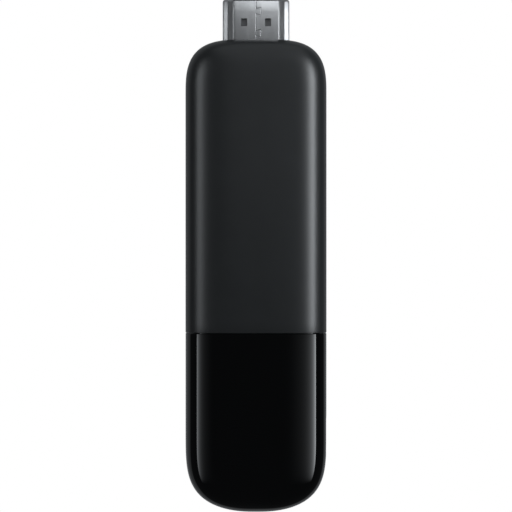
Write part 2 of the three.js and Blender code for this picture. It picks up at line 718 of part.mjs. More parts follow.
function aerials() {
  const stand = FRONT - MOUNT_GAP;
  const end = aerial("aerial_end", 12);
  end.rotation.x = Math.PI;
  end.position.set(0, stand, -90.6);
  const side = aerial("aerial_side", 13);
  side.rotation.set(Math.PI, Math.PI / 2, 0, "YXZ");
  side.position.set(-10.1, stand, -77);
  return [end, side];
}

// ---------------------------------------------------------------- carrier and screws

function carrier() {
  const { front, rear, wall, clearance, ledge, top, topGap } = CARRIER;
  const [beyondFront, beyondRear] = [front - 1, rear + 1];
  const outer = rectangle(
    BOARD.halfWidth + clearance + wall,
    BOARD.bottom - clearance - wall,
    top,
    BOARD.bottomRadius + clearance + wall,
    2,
  );
  const ring = cutBy(plateSolid(outer, front, rear), [
    plateSolid(boardShape(clearance), beyondFront, REAR + MOUNT_GAP),
    plateSolid(boardShape(-ledge), beyondFront, beyondRear),
    boxSolid([-topGap, beyondFront, -20], [topGap, beyondRear, 0]),
    boxSolid([8, beyondFront, USB.z - 4.9], [20, beyondRear, USB.z + 4.9]),
  ]);
  const crossbar = boxSolid(
    [-CROSSBAR.halfWidth, REAR + 0.3, CROSSBAR.z - CROSSBAR.length / 2],
    [CROSSBAR.halfWidth, rear, CROSSBAR.z + CROSSBAR.length / 2],
  );
  const bosses = SCREW_PLACES.map(({ x, z }) => barSolid(x, z, BOSS.radius, REAR + MOUNT_GAP, BOSS.rear));
  const bores = SCREW_PLACES.map(({ x, z }) => barSolid(x, z, BOSS.bore, 0, BOSS.rear - 0.5));
  return piece("carrier", cutBy(joined([ring, crossbar, ...bosses]), bores), MATERIALS.carrier_plastic);
}

function screw({ name, x, z }) {
  const { headRadius, headHeight, radius, length, recess } = SCREW;
  const profile = [
    [0, -length], [radius * 0.5, -length], [radius, -length + 0.5], [radius, 0], [headRadius, 0],
    [headRadius, headHeight * 0.6], [headRadius * 0.75, headHeight], [0, headHeight],
  ].map(([r, height]) => new THREE.Vector2(r, height));
  const turned = solidOf(new THREE.LatheGeometry(profile, 20));
  const arm = (halfX, halfZ) =>
    boxSolid([-halfX, headHeight - recess, -halfZ], [halfX, headHeight + 1, halfZ]);
  const mesh = piece(name, cutBy(turned, [arm(0.7, 0.15), arm(0.15, 0.7)]), MATERIALS.screw_steel);
  mesh.rotation.x = Math.PI;
  mesh.position.set(x, FRONT - MOUNT_GAP, z);
  return mesh;
}

// ---------------------------------------------------------------- the stick

const stick = new THREE.Group();
stick.add(sleeve(), endCap(), carrier(), ...SCREW_PLACES.map(screw));
stick.add(hdmiPlug(), microUsb());
stick.add(board(), ...components(), ...shieldCans(), ...thermalPads());
stick.add(heatSpreader("heat_spreader_front", -1), heatSpreader("heat_spreader_rear", 1), ...aerials());

export default stick;
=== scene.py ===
"""Looks for the streaming media stick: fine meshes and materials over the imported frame.

Lengths inside this script are in millimetres until a mesh is made. X is the width, the front faces -Y,
and Z runs up the stick to the plug.
"""

import json
import math

import bmesh
import bpy
import numpy as np
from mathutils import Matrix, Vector

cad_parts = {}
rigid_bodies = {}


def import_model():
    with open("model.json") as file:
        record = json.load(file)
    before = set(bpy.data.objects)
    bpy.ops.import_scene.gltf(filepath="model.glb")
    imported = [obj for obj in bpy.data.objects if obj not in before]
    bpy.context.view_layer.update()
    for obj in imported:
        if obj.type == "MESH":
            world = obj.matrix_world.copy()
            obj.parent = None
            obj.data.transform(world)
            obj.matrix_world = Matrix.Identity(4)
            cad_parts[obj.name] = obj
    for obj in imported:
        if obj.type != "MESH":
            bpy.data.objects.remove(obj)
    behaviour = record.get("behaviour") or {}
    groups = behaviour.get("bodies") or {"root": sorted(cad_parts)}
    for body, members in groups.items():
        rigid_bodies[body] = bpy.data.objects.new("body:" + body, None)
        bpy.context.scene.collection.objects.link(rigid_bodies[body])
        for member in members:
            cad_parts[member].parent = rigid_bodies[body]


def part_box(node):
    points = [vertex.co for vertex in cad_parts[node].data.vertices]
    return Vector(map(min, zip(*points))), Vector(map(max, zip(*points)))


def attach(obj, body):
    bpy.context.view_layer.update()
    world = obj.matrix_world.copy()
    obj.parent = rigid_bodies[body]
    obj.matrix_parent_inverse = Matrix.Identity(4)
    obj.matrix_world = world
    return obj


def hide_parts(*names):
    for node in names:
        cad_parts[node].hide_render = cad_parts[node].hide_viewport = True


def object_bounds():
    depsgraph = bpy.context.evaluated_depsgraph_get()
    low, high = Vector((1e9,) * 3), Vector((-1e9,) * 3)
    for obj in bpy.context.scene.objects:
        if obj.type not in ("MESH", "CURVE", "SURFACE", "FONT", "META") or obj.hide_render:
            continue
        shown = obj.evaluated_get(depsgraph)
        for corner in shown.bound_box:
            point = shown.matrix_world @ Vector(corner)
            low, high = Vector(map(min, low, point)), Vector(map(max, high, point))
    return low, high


MM = 0.001
TAU = 2 * math.pi

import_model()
cad_low, cad_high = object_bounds()


def box_mm(node):
    """The lowest and highest corner of a CAD node, in millimetres."""
    low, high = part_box(node)
    return np.array(low) / MM, np.array(high) / MM


# ---------------------------------------------------------------- sizes taken from the frame

SLEEVE_LOW, SLEEVE_HIGH = box_mm("sleeve")
CAP_LOW, CAP_HIGH = box_mm("end_cap")
PLUG_LOW, PLUG_HIGH = box_mm("hdmi_shell")
INSULATOR_LOW, INSULATOR_HIGH = box_mm("hdmi_insulator")
INLET_LOW, INLET_HIGH = box_mm("micro_usb_shell")
BOARD_LOW, BOARD_HIGH = box_mm("main_board")

HALF_WIDTH = SLEEVE_HIGH[0]
HALF_THICKNESS = SLEEVE_HIGH[1]
BOTTOM = CAP_LOW[2]
SEAM = SLEEVE_LOW[2]
SPIGOT_TOP = CAP_HIGH[2]
PLUG_TIP = PLUG_HIGH[2]
PLUG_HALF_WIDTH = PLUG_HIGH[0]
PLUG_HALF_HEIGHT = PLUG_HIGH[1]
INLET_MOUTH = INLET_HIGH[0]
INLET_Z = (INLET_LOW[2] + INLET_HIGH[2]) / 2

# The housing's shape, the same as the CAD model's
SECTION_EXPONENT = 3
TOP_END = {"reach": 11.4, "across": 3.76, "along": 2.98}
BOTTOM_END = {"reach": 17.9, "across": 2.3, "along": 4.18}
WALL = 1.6
END_WALL = 1.7
SEAM_GAP = 0.1
SPIGOT_THICKNESS = 0.7
JOINT_CLEARANCE = 0.1


# ---------------------------------------------------------------- mesh helpers


def link(name, mesh, replaced=()):
    """Puts a mesh in the scene as a piece of the object."""
    piece = bpy.data.objects.new(name, mesh)
    bpy.context.scene.collection.objects.link(piece)
    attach(piece, "root")
    if replaced:
        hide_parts(*replaced)
    return piece


def mesh_from(points, faces):
    """A mesh from points in millimetres."""
    mesh = bpy.data.meshes.new("mesh")
    mesh.from_pydata([tuple(p) for p in np.asarray(points) * MM], [], faces)
    mesh.validate()
    return mesh


def stacked_rows(rows, closed_start, closed_end):
    """A skin over rows of points, each row a closed loop; a closed end gets a fan of triangles."""
    count = len(rows[0])
    points = [p for row in rows for p in row]
    faces = []
    for r in range(len(rows) - 1):
        for i in range(count):
            j = (i + 1) % count
            faces.append((r * count + i, r * count + j, (r + 1) * count + j, (r + 1) * count + i))
    for closed, row, flip in ((closed_start, 0, True), (closed_end, len(rows) - 1, False)):
        if closed is None:
            continue
        hub = len(points)
        points.append(closed)
        for i in range(count):
            j = (i + 1) % count
            ring = (row * count + j, row * count + i) if flip else (row * count + i, row * count + j)
            faces.append((*ring, hub))
    return points, faces


def torus_of_rows(rows):
    """A skin over rows of points that closes on itself, for a tube with a wall."""
    count = len(rows[0])
    total = len(rows)
    points = [p for row in rows for p in row]
    faces = []
    for r in range(total):
        s = (r + 1) % total
        for i in range(count):
            j = (i + 1) % count
            faces.append((r * count + i, r * count + j, s * count + j, s * count + i))
    return points, faces


def smooth_by_angle(mesh, degrees):
    """Smooth shading, with edges sharper than the angle kept sharp."""
    for polygon in mesh.polygons:
        polygon.use_smooth = True
    bm = bmesh.new()
    bm.from_mesh(mesh)
    bmesh.ops.recalc_face_normals(bm, faces=bm.faces)
    limit = math.radians(degrees)
    for edge in bm.edges:
        edge.smooth = len(edge.link_faces) == 2 and edge.calc_face_angle(0) < limit
    bm.to_mesh(mesh)
    bm.free()


def cut(target, tools, operation="DIFFERENCE"):
    """Subtracts each tool mesh from the target mesh, or joins it on, and returns the new mesh."""
    host = bpy.data.objects.new("cutting", target)
    bpy.context.scene.collection.objects.link(host)
    helpers = []
    for index, tool in enumerate(tools):
        helper = bpy.data.objects.new(f"tool_{index}", tool)
        bpy.context.scene.collection.objects.link(helper)
        modifier = host.modifiers.new(f"cut_{index}", "BOOLEAN")
        modifier.operation = operation
        modifier.solver = "EXACT"
        modifier.object = helper
        helpers.append(helper)
    depsgraph = bpy.context.evaluated_depsgraph_get()
    result = bpy.data.meshes.new_from_object(host.evaluated_get(depsgraph))
    for helper in [host, *helpers]:
        bpy.data.objects.remove(helper)
    return result


def rounded_outline(corners, radii, steps=6):
    """The points of a closed outline with each corner rounded by an arc."""
    corners = [np.array(c, float) for c in corners]
    points = []
    for i, corner in enumerate(corners):
        before = corners[i - 1] - corner
        after = corners[(i + 1) % len(corners)] - corner
        before /= np.linalg.norm(before)
        after /= np.linalg.norm(after)
        half = math.acos(np.clip(np.dot(before, after), -1, 1)) / 2
        middle = (before + after) / np.linalg.norm(before + after)
        centre = corner + middle * radii[i] / math.sin(half)
        start = corner + before * radii[i] / math.tan(half) - centre
        end = corner + after * radii[i] / math.tan(half) - centre
        a0 = math.atan2(start[1], start[0])
        sweep = (math.atan2(end[1], end[0]) - a0 + math.pi) % TAU - math.pi
        for k in range(steps + 1):
            a = a0 + sweep * k / steps
            points.append(centre + radii[i] * np.array([math.cos(a), math.sin(a)]))
    return np.array(points)


def refined(outline, longest):
    """The same closed outline with points added, so no side is longer than longest."""
    points = []
    for a, b in zip(outline, np.roll(outline, -1, axis=0)):
        count = max(1, math.ceil(np.linalg.norm(b - a) / longest))
        points += [a + (b - a) * k / count for k in range(count)]
    return np.array(points)


def offset_outline(outline, distance):
    """A closed, anticlockwise outline moved outwards by distance."""
    before = outline - np.roll(outline, 1, axis=0)
    after = np.roll(outline, -1, axis=0) - outline
    before /= np.linalg.norm(before, axis=1)[:, None]
    after /= np.linalg.norm(after, axis=1)[:, None]
    along = before + after
    along /= np.linalg.norm(along, axis=1)[:, None]
    normal = np.stack([along[:, 1], -along[:, 0]], axis=1)
    stretch = 1 / np.maximum(np.sum(along * after, axis=1), 0.5)
    return outline + normal * (distance * stretch)[:, None]


def rectangle(x0, x1, z0, z1, radius, steps=5):
    """The points of a rectangle with rounded corners."""
    return rounded_outline([(x0, z0), (x1, z0), (x1, z1), (x0, z1)], [radius] * 4, steps)


FLAT = (0, 2, 1)  # an outline in X and Z, with its thickness along Y
UPRIGHT = (0, 1, 2)  # an outline in X and Y, running along Z


def prism(outline, levels, axes=FLAT):
    """A closed solid over an outline; levels are the outline's margin and its place along the third axis."""
    loops = []
    for margin, place in levels:
        loop = np.empty((len(outline), 3))
        loop[:, axes[:2]] = offset_outline(outline, margin)
        loop[:, axes[2]] = place
        loops.append(loop)
    count = len(outline)
    last = count * (len(loops) - 1)
    points, faces = stacked_rows(loops, None, None)
    faces += [tuple(range(count))[::-1], tuple(range(last, last + count))]
    mesh = mesh_from(points, faces)
    flip_to_outward(mesh)
    return mesh


def soft_levels(low, high, bevel):
    """The levels of a prism whose two rims are rounded over."""
    steps = 3
    turns = [k / steps * math.pi / 2 for k in range(steps + 1)]
    rim = [(-bevel * (1 - math.sin(a)), bevel * (1 - math.cos(a))) for a in turns]
    lower = [(margin, low + rise) for margin, rise in rim]
    upper = [(margin, high - rise) for margin, rise in rim[::-1]]
    return lower + upper


def block(low, high, bevel=0.0):
    """A box between two corners, with its edges rounded where bevel is over 0."""
    least_radius = 0.01
    outline = rectangle(low[0], high[0], low[2], high[2], max(bevel, least_radius), 3 if bevel else 1)
    levels = soft_levels(low[1], high[1], bevel) if bevel else [(0, low[1]), (0, high[1])]
    return prism(outline, levels)


def merged(meshes):
    """Several meshes as one, each with its place in the list as its material index."""
    bm = bmesh.new()
    for index, mesh in enumerate(meshes):
        before = len(bm.faces)
        bm.from_mesh(mesh)
        bm.faces.ensure_lookup_table()
        for face in bm.faces[before:]:
            face.material_index = index
    result = bpy.data.meshes.new("merged")
    bm.to_mesh(result)
    bm.free()
    return result


def one_material(mesh):
    """The same mesh, with every face on its first material."""
    for polygon in mesh.polygons:
        polygon.material_index = 0
    return mesh


def add_piece(name, mesh, slot, replaced=(), sharp=35, extra_materials=()):
    """Links a finished mesh as a piece with its slot's material."""
    smooth_by_angle(mesh, sharp)
    mesh.materials.clear()
    for material in (MATERIALS[slot], *extra_materials):
        mesh.materials.append(material)
    return link(name, mesh, replaced=replaced)


def softened(node, slot, bevel):
    """A copy of a CAD node's shape with every sharp edge rounded over, in the node's place."""
    same_place = 1e-6
    flat, sharp_angle = math.radians(1), math.radians(30)
    bm = bmesh.new()
    bm.from_mesh(bpy.data.objects[node].data)
    bm.transform(bpy.data.objects[node].matrix_world)
    bmesh.ops.remove_doubles(bm, verts=bm.verts, dist=same_place)
    bmesh.ops.dissolve_limit(bm, angle_limit=flat, verts=bm.verts, edges=bm.edges)
    sharp = [e for e in bm.edges if len(e.link_faces) == 2 and e.calc_face_angle(0) > sharp_angle]
    bmesh.ops.bevel(
        bm, geom=sharp, offset=bevel * MM, segments=2, profile=0.5, affect="EDGES", clamp_overlap=True
    )
    mesh = bpy.data.meshes.new(node)
    bm.to_mesh(mesh)
    bm.free()
    return add_piece(node + "_fine", mesh, slot, [node], 40)


# ---------------------------------------------------------------- housing


def even_superellipse(half_a, half_b, exponent_a, exponent_b, turns, count):
    """Points of a superellipse from angle 0 to turns quarter turns, spread evenly by length and by bend."""
    samples = 6001
    t = np.linspace(0, turns * math.pi / 2, samples)
    c, s = np.cos(t), np.sin(t)
    x = half_a * np.sign(c) * np.abs(c) ** (2 / exponent_a)
    y = half_b * np.sign(s) * np.abs(s) ** (2 / exponent_b)
    dx, dy = np.diff(x), np.diff(y)
    length = np.concatenate([[0], np.cumsum(np.hypot(dx, dy))])
    heading = np.unwrap(np.arctan2(dy, dx))
    bend = np.concatenate([[0], np.cumsum(np.abs(np.diff(heading))), [0]])
    bend[-1] = bend[-2]
    measure = length / length[-1] + bend / bend[-1]
    wanted = np.linspace(0, measure[-1], count)
    return np.interp(wanted, measure, x), np.interp(wanted, measure, y)


AROUND = 256
END_ROWS = 48
_x, _y = even_superellipse(HALF_WIDTH, HALF_THICKNESS, SECTION_EXPONENT, SECTION_EXPONENT, 4, AROUND + 1)
UNIT_SECTION = np.stack([_x[:-1] / HALF_WIDTH, _y[:-1] / HALF_THICKNESS], axis=1)


def section_row(half_width, half_thickness, z):
    """One cross-section of the housing."""
    row = UNIT_SECTION * (half_width, half_thickness)
    return np.column_stack([row, np.full(AROUND, z)])


def end_rows(end, apex, direction, inset=0):
    """The cross-sections over one rounded end, from just past its apex to the straight stretch."""
    reach = end["reach"] - inset
    out, scale = even_superellipse(reach, 1, end["along"], end["across"], 1, END_ROWS)
    rows = []
    for depth, share in list(zip(reach - out, scale))[1:]:
        z = apex + direction * depth
        rows.append(section_row((HALF_WIDTH - inset) * share, (HALF_THICKNESS - inset) * share, z))
    return rows


def rounded_edge_rows(inset, z, radius, direction):
    """Rows that turn from the outer side into a flat edge face, over a small radius."""
    steps = 5
    rows = []
    for k in range(steps + 1):
        a = k / steps * math.pi / 2
        drop = radius * (1 - math.sin(a))
        pull = inset + radius * (1 - math.cos(a))
        rows.append(section_row(HALF_WIDTH - pull, HALF_THICKNESS - pull, z + direction * drop))
    return rows


def plug_corners():
    """The corners of the HDMI plug's section, anticlockwise from the front left."""
    step = (5.93, -0.95)
    shoulder = -0.3
    narrow = 4.72
    w, h = PLUG_HALF_WIDTH, PLUG_HALF_HEIGHT
    right = [(narrow, -h), step, (w, shoulder), (w, h)]
    left = [(-x, y) for x, y in right[::-1]]
    return [left[-1], *right, *left[:-1]]


def plug_outline(margin=0):
    """The HDMI plug's section, with rounded bends, moved outwards by margin."""
    longest = 0.6
    radii = [0.45, 0.45, 0.3, 0.45, 0.5, 0.5, 0.45, 0.3]
    outline = rounded_outline(plug_corners(), radii)
    return offset_outline(refined(outline, longest), margin)


def flare(margin, start, round_over, steps):
    """The stations of a hole's mouth that opens over a quarter circle."""
    turns = [k / steps * math.pi / 2 for k in range(1, steps + 1)]
    return [(margin + round_over * (1 - math.cos(a)), start + round_over * math.sin(a)) for a in turns]


def flared_hole(outline_at, stations):
    """A cutting tool whose section grows or shrinks: stations are (margin, z)."""
    rows = []
    for margin, z in stations:
        outline = outline_at(margin)
        rows.append(np.column_stack([outline, np.full(len(outline), z)]))
    low = (0, 0, stations[0][1])
    high = (0, 0, stations[-1][1])
    return mesh_from(*stacked_rows(rows, low, high))


def sleeve():
    """The satin upper shell, closed round the plug."""
    edge = 0.12
    seat = WALL - SPIGOT_THICKNESS - JOINT_CLEARANCE
    seat_top = SPIGOT_TOP + JOINT_CLEARANCE
    outer = end_rows(TOP_END, 0, -1)
    straight_top, straight_low, straight_rows = -TOP_END["reach"] - 4, SEAM + 2, 12
    for z in np.linspace(straight_top, straight_low, straight_rows):
        outer.append(section_row(HALF_WIDTH, HALF_THICKNESS, z))
    outer += rounded_edge_rows(0, SEAM, edge, 1)
    inner = [
        section_row(HALF_WIDTH - seat, HALF_THICKNESS - seat, SEAM),
        section_row(HALF_WIDTH - seat, HALF_THICKNESS - seat, seat_top),
        section_row(HALF_WIDTH - WALL, HALF_THICKNESS - WALL, seat_top),
    ]
    inner += end_rows(TOP_END, -END_WALL, -1, WALL)[::-1]
    points, faces = stacked_rows(outer + inner, (0, 0, 0), (0, 0, -END_WALL))
    shell = mesh_from(points, faces)
    flip_to_outward(shell)
    clearance = 0.12
    round_over = 0.25
    mouth = -0.35
    stations = [(clearance, -2 * END_WALL), (clearance, mouth), *flare(clearance, mouth, round_over, 6)]
    hole = flared_hole(plug_outline, [*stations, (clearance + round_over, 1)])
    flip_to_outward(hole)
    mesh = cut(shell, [hole, one_material(merged(snap_lugs(0.1)))])
    return add_piece("sleeve_shell", mesh, "satin_black", ["sleeve"], 40)


def snap_lugs(margin):
    """The four lugs on the cap's spigot, or with a margin the pockets in the sleeve."""
    x, half_width, half_height, outside = 5, 1.5, 0.45, 6.95
    bury, bevel = 0.2, 0.08
    inside = HALF_THICKNESS - WALL + bury
    z = SEAM + (SPIGOT_TOP - SEAM) / 2
    lugs = []
    for side in (-1, 1):
        y = sorted((side * inside, side * (outside + margin)))
        for centre in (-x, x):
            reach = (half_width + margin, half_height + margin)
            low = (centre - reach[0], y[0], z - reach[1])
            high = (centre + reach[0], y[1], z + reach[1])
            lugs.append(block(low, high, bevel))
    return lugs


def flip_to_outward(mesh):
    """Turns every face of a closed mesh to face out."""
    bm = bmesh.new()
    bm.from_mesh(mesh)
    bmesh.ops.recalc_face_normals(bm, faces=bm.faces)
    bm.to_mesh(mesh)
    bm.free()


def port_outline(margin):
    """The power opening's outline, wide along its first axis."""
    w, h, radius, longest = 3.85, 1.65, 1.1, 0.5
    outline = rectangle(-w, w, -h, h, radius, 10)
    return offset_outline(refined(outline, longest), margin)


def port_tool():
    """The power opening, rounded over where it meets the outside, pointing to +X."""
    round_over = 0.3
    inner_end = 12
    mouth = HALF_WIDTH - 0.42
    past_the_side = (round_over + 0.6, HALF_WIDTH + 0.5)  # opens on, clear of the curved side
    stations = [(0, inner_end), (0, mouth), *flare(0, mouth, round_over, 8), past_the_side]
    return turned_to_side(flared_hole(port_outline, stations))


def end_cap():
    """The gloss lower shell, with the power opening in its right side."""
    edge = 0.14
    shrink = 0.01
    top = SEAM - SEAM_GAP
    spigot = WALL - SPIGOT_THICKNESS
    lead_in = 0.2
    outer = end_rows(BOTTOM_END, BOTTOM, 1)
    for row in outer:
        row[:, :2] *= (HALF_WIDTH - shrink) / HALF_WIDTH
    straight_low, straight_top, straight_rows = BOTTOM + BOTTOM_END["reach"] + 3, top - 2, 8
    for z in np.linspace(straight_low, straight_top, straight_rows):
        outer.append(section_row(HALF_WIDTH - shrink, HALF_THICKNESS - shrink, z))
    outer += rounded_edge_rows(shrink, top, edge, -1)
    inner = [
        section_row(HALF_WIDTH - spigot, HALF_THICKNESS - spigot, top),
        section_row(HALF_WIDTH - spigot, HALF_THICKNESS - spigot, SPIGOT_TOP - lead_in),
        section_row(HALF_WIDTH - spigot - lead_in, HALF_THICKNESS - spigot - lead_in, SPIGOT_TOP),
        section_row(HALF_WIDTH - WALL, HALF_THICKNESS - WALL, SPIGOT_TOP),
    ]
    inner += end_rows(BOTTOM_END, BOTTOM + END_WALL, 1, WALL)[::-1]
    points, faces = stacked_rows(outer + inner, (0, 0, BOTTOM), (0, 0, BOTTOM + END_WALL))
    shell = mesh_from(points, faces)
    flip_to_outward(shell)
    shell = cut(shell, [one_material(merged(snap_lugs(0)))], "UNION")
    shell = cut(shell, [one_material(merged(stop_ribs()))], "UNION")
    # The inlet slides into the cap along a channel in its right wall
    left, right, half_width, low = 10, 14, 1.75, INLET_Z - 4.3
    channel = block((left, -half_width, low), (right, half_width, SPIGOT_TOP + 4))
    mesh = cut(shell, [channel, port_tool()])
    return add_piece("end_cap_shell", mesh, "gloss_black", ["end_cap"], 40)


def stop_ribs():
    """Two ribs across the bottom of the cap, which the carrier stops against."""
    x, half_thickness, reach, top, bevel = 4, 0.5, 5.2, -94.4, 0.15
    bury = END_WALL / 2
    rows = end_rows(BOTTOM_END, BOTTOM + bury, 1, bury)
    ribs = []
    for centre in (-x, x):
        low = (centre - half_thickness, -reach, BOTTOM)
        rib = block(low, (centre + half_thickness, reach, top), bevel)
        core = mesh_from(*stacked_rows(rows, (0, 0, BOTTOM + bury), (0, 0, rows[-1][0][2])))
        flip_to_outward(core)
        ribs.append(cut(rib, [core], "INTERSECT"))
    return ribs


# ---------------------------------------------------------------- HDMI plug

SHEET = 0.3


def tube_rows(outline_at, sheet, z_low, z_high, lip):
    """The rows of a tube of sheet; its lower rim is round, and its upper one turns in over lip."""
    side_rows = 8
    rim_steps = 5
    turned_in = ((0.02, 0.94), (0.12, 0.78), (0.82, 0.13), (0.93, 0.03), (1, 0.02))
    rows = []
    half = sheet / 2

    def row(margin, z):
        outline = outline_at(margin)
        rows.append(np.column_stack([outline, np.full(len(outline), z)]))

    for z in np.linspace(z_low + half, z_high - lip, side_rows):
        row(0, z)
    for share, drop in turned_in:
        row(-sheet * share, z_high - lip * drop)
    for z in np.linspace(z_high - lip, z_low + half, side_rows):
        row(-sheet, z)
    for k in range(1, rim_steps):
        a = k / rim_steps * math.pi
        row(-half - half * math.cos(a), z_low + half - half * math.sin(a))
    return rows


def seam_path():
    """The joint of the folded sheet down the narrow face: points in X and Z, with two dovetails."""
    reach, root, end, run = 1.0, 0.5, 0.8, 1.2
    dovetails = (2.55, 7.15)
    below_the_housing = -3
    path = [(0, PLUG_TIP + 1)]
    for from_tip in dovetails:
        z = PLUG_TIP - from_tip
        path += [(0, z + run), (0, z + root), (reach, z + end), (reach, z - end), (0, z - root), (0, z - run)]
    path.append((0, below_the_housing))
    return [np.array(p) for p in path]


def strip_tool(path, profile, face_y):
    """A cutting tool along a path in X and Z: profile gives (half width, Y) from deep to high."""
    sharpest_mitre = 0.3
    sides = {-1: [], 1: []}
    for sign in sides:
        for i, point in enumerate(path):
            into = point - path[i - 1] if i else path[1] - point
            out_of = path[i + 1] - point if i < len(path) - 1 else into
            into = into / np.linalg.norm(into)
            out_of = out_of / np.linalg.norm(out_of)
            along = (into + out_of) / np.linalg.norm(into + out_of)
            normal = np.array([-along[1], along[0]])
            sides[sign].append((point, sign * normal / max(abs(along @ out_of), sharpest_mitre)))
    rings = []
    for index in range(len(path)):
        ring = []
        for sign in (-1, 1):
            ordered = profile if sign < 0 else profile[::-1]
            for half, y in ordered:
                point, normal = sides[sign][index]
                spot = point + normal * half
                ring.append((spot[0], face_y + y, spot[1]))
        rings.append(np.array(ring))
    tool = mesh_from(*stacked_rows(rings, tuple(rings[0].mean(axis=0)), tuple(rings[-1].mean(axis=0))))
    flip_to_outward(tool)
    return tool


def window_tools(margin, depth):
    """The four latch windows, through the sheet of both wide faces."""
    centre_x, from_tip, half_width, half_length, corner = 2.5, 4.85, 0.65, 0.82, 0.1
    tools = []
    z = PLUG_TIP - from_tip
    w, h = half_width + margin, half_length + margin
    for side in (-1, 1):
        face = side * PLUG_HALF_HEIGHT
        levels = [(0, y) for y in sorted((face - side * depth, face + side))]
        for x in (-centre_x, centre_x):
            tools.append(prism(rectangle(x - w, x + w, z - h, z + h, corner, 3), levels))
    return one_material(merged(tools))


def plug_shell():
    """The folded steel shell of the HDMI plug, with the legs that grip the board."""
    leg_length, leg_x, leg_y, leg_half_width, bevel = 4.1, 6.4, 0.7, 0.5, 0.08
    lip, window_depth = 0.42, 0.5
    rear = PLUG_LOW[2] + leg_length
    tube = mesh_from(*torus_of_rows(tube_rows(plug_outline, SHEET, rear, PLUG_TIP, lip)))
    flip_to_outward(tube)
    profile = [(0.03, 0.15), (0.06, 0.04), (0.12, -0.005), (0.16, -0.5)]
    groove = strip_tool(seam_path(), profile, -PLUG_HALF_HEIGHT)
    tube = cut(tube, [groove, window_tools(0, window_depth)])
    leg_top = INSULATOR_LOW[2] - 0.1
    legs = []
    for x in (-leg_x, leg_x):
        for y in (-leg_y, leg_y):
            low = (x - leg_half_width, y - SHEET / 2, PLUG_LOW[2])
            legs.append(block(low, (x + leg_half_width, y + SHEET / 2, leg_top), bevel))
    mesh = one_material(merged([tube, *legs]))
    return add_piece("plug_shell", mesh, "plug_steel", ["hdmi_shell"], 28)


def plug_insulator():
    """The plug's plastic core: a slot for the socket's tongue, a groove for each contact, latch pockets."""
    low, high = INSULATOR_LOW[2], INSULATOR_HIGH[2]
    inset, bevel = SHEET + 0.05, 0.08
    slot_half_width, slot_half_height, slot_corner, slot_floor = 5.8, 0.62, 0.15, -4.5
    flare_width, flare_start = 0.3, high - 0.5
    groove_half_width, groove_start, groove_floor, groove_end = 0.25, 0.42, 1, 7.3
    pocket_margin, pocket_depth = 0.1, 0.75
    levels = [(margin - inset, z) for margin, z in soft_levels(low, high, bevel)]
    core = prism(plug_outline(), levels, UPRIGHT)
    mouth = rectangle(-slot_half_width, slot_half_width, -slot_half_height, slot_half_height, slot_corner)
    lead_in = [(0, slot_floor), (0, flare_start), (flare_width, high - 0.02), (flare_width, high + 1)]
    slot = prism(mouth, lead_in, UPRIGHT)
    grooves = []
    for count, side in ((10, 1), (9, -1)):
        for i in range(count):
            x = i - (count - 1) / 2
            y = sorted((groove_start * side, groove_floor * side))
            start = (x - groove_half_width, y[0], low - 1)
            grooves.append(block(start, (x + groove_half_width, y[1], groove_end)))
    pockets = window_tools(pocket_margin, pocket_depth)
    mesh = cut(core, [slot, one_material(merged(grooves)), pockets])
    return add_piece("plug_insulator", mesh, "insulator_plastic", ["hdmi_insulator"])


# ---------------------------------------------------------------- power inlet


def inlet_outline(margin):
    """The inlet's section: wide side to the rear, two corners cut off towards the front."""
    w, h = 3.7, 1.175
    cut_width, cut_height = 0.8, 0.82
    radius, longest = 0.35, 0.5
    corners = [
        (cut_width - w, -h),
        (w - cut_width, -h),
        (w, cut_height - h),
        (w, h),
        (-w, h),
        (-w, cut_height - h),
    ]
    outline = rounded_outline(corners, [radius] * len(corners))
    return offset_outline(refined(outline, longest), margin)


def turned_to_side(mesh, mouth=0.0):
    """Turns a mesh that points up Z so that it points to +X at the inlet's height."""
    for vertex in mesh.vertices:
        x, y, z = vertex.co
        vertex.co = (z + mouth * MM, y, INLET_Z * MM - x)
    flip_to_outward(mesh)
    return mesh


def inlet_shell():
    """The folded shell of the power inlet, with four legs soldered to the board."""
    sheet, depth, lip, foot = 0.25, 5.2, 0.2, BOARD_LOW[1] - 0.02
    leg_inner, leg_outer, leg_half_width, bevel = 3.3, 4.7, 0.5, 0.08
    tube = mesh_from(*torus_of_rows(tube_rows(inlet_outline, sheet, -depth, 0, lip)))
    flip_to_outward(tube)
    legs = []
    for side in (-1, 1):
        for z in (-1.9, -4):
            x = sorted((side * leg_inner, side * leg_outer))
            low = (x[0], foot - sheet, z - leg_half_width)
            legs.append(block(low, (x[1], foot, z + leg_half_width), bevel))
    mesh = one_material(merged([tube, *legs]))
    return add_piece("inlet_shell", turned_to_side(mesh, INLET_MOUTH), "shield_tin", ["micro_usb_shell"])


# ---------------------------------------------------------------- parts on the board


